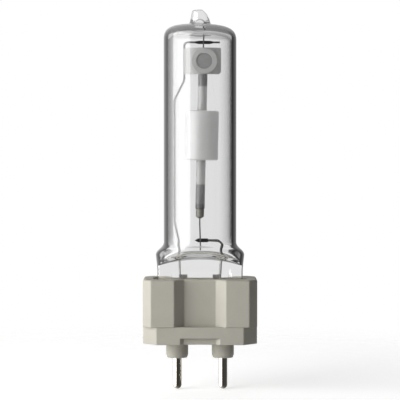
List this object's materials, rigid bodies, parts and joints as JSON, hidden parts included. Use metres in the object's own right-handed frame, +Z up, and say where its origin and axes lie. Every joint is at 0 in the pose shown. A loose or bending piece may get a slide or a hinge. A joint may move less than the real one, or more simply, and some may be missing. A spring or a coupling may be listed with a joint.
{
  "type": "metal halide lamp",
  "caption": "Single-ended metal halide lamp: ceramic arc tube in a clear quartz tubular bulb with a pressed seal, set in a ceramic two-pin cap.",
  "frame": {"origin": "midway between the two contact pins, on the plane where they leave the cap's collars", "axes": "+Z up the lamp to its exhaust tip, X along the row of pins, -Y towards the side that carries the getter"},
  "size_m": [0.0296, 0.019, 0.0994],
  "materials": {
    "quartz_glass": "clear, fire-polished",
    "cap_ceramic": "matt, pressed and unglazed",
    "basing_cement": "matt, fine-grained",
    "pin_nickel": "bright nickel plate",
    "molybdenum": "drawn wire, satin",
    "foil_metal": "thin rolled foil",
    "arc_tube_ceramic": "translucent sintered alumina, satin",
    "seal_frit": "fused glass frit, glossy",
    "niobium": "drawn wire, satin",
    "tungsten": "drawn wire, dull",
    "sleeve_metal": "turned, bright",
    "getter_metal": "rolled strip, satin",
    "getter_powder": "pressed powder, matt"
  },
  "bodies": {
    "root": {"outer_bulb": "quartz_glass", "cap_body": "cap_ceramic", "basing_cement": "basing_cement", "contact_pin_left": "pin_nickel", "contact_pin_right": "pin_nickel", "outer_lead_left": "molybdenum", "outer_lead_right": "molybdenum", "seal_foil_left": "foil_metal", "seal_foil_right": "foil_metal", "frame_wire": "molybdenum", "short_lead": "molybdenum", "weld_sleeve_upper": "sleeve_metal", "weld_sleeve_lower": "sleeve_metal", "arc_tube_body": "arc_tube_ceramic", "end_plug_upper": "arc_tube_ceramic", "end_plug_lower": "arc_tube_ceramic", "capillary_upper": "arc_tube_ceramic", "capillary_lower": "arc_tube_ceramic", "electrode_rod_upper": "tungsten", "electrode_rod_lower": "tungsten", "electrode_coil_upper": "tungsten", "electrode_coil_lower": "tungsten", "feedthrough_rod_upper": "molybdenum", "feedthrough_rod_lower": "molybdenum", "niobium_lead_upper": "niobium", "niobium_lead_lower": "niobium", "frit_seal_upper": "seal_frit", "frit_seal_lower": "seal_frit", "end_sleeve_upper": "sleeve_metal", "end_sleeve_lower": "sleeve_metal", "link_wire_upper": "molybdenum", "link_wire_lower": "molybdenum", "getter_band": "getter_metal", "getter_holder": "getter_metal", "getter_pill": "getter_powder"}
  },
  "joints": []
}
